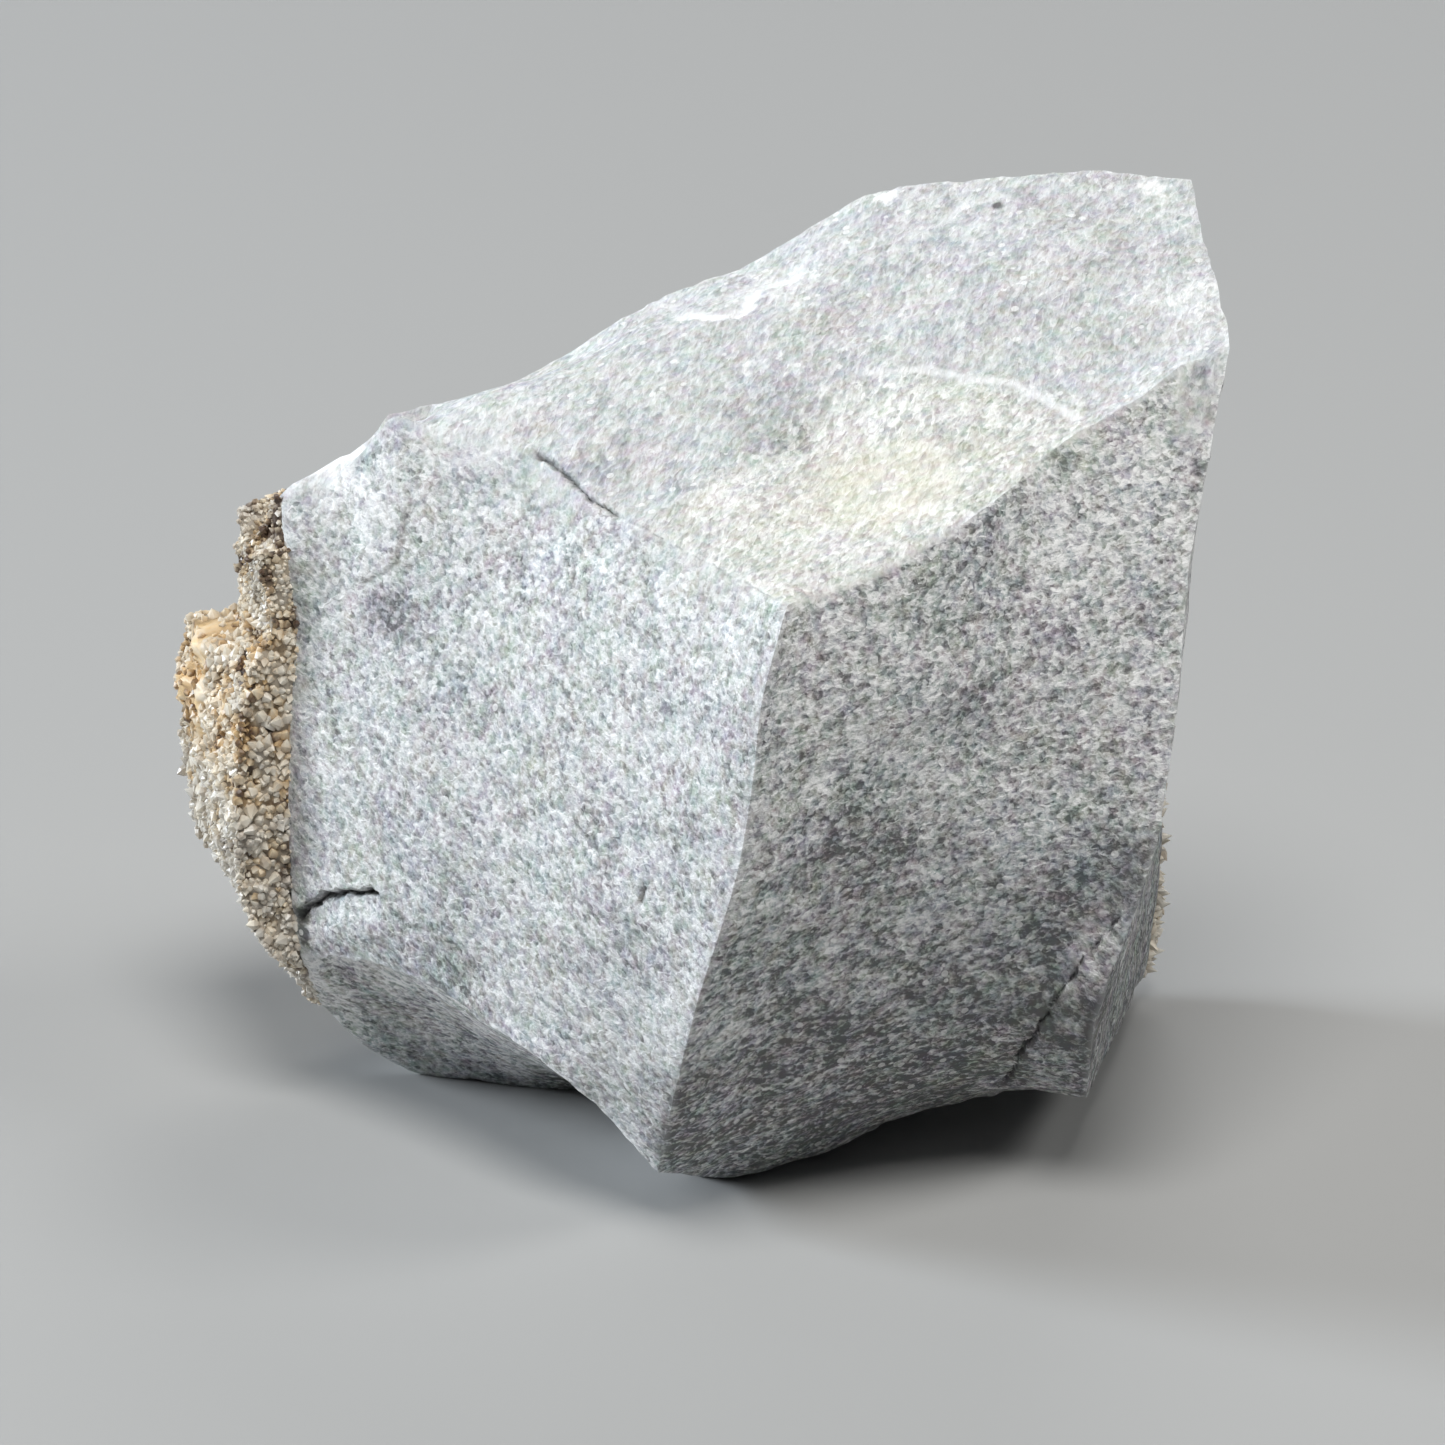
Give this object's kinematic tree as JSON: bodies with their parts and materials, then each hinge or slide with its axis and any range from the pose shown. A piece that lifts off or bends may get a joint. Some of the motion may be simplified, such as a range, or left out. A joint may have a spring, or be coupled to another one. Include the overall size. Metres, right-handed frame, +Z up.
{
  "type": "dogstooth calcite specimen",
  "caption": "Broken block of pale grey limestone with a druse of small dogtooth calcite crystals over its back and left side, resting on a flat spot.",
  "frame": {"origin": "on the flat spot that the block rests on, under the middle of the block", "axes": "+X to the block's right along its longest extent, +Y to its back where the druse is, +Z up"},
  "size_m": [0.0803, 0.0628, 0.0687],
  "materials": {
    "limestone": "dull broken stone, pale grey, sugary fine grain",
    "calcite": "vitreous tan to honey crystals, slightly translucent"
  },
  "bodies": {
    "root": {"limestone_matrix": "limestone", "calcite_druse": "calcite"}
  },
  "joints": []
}
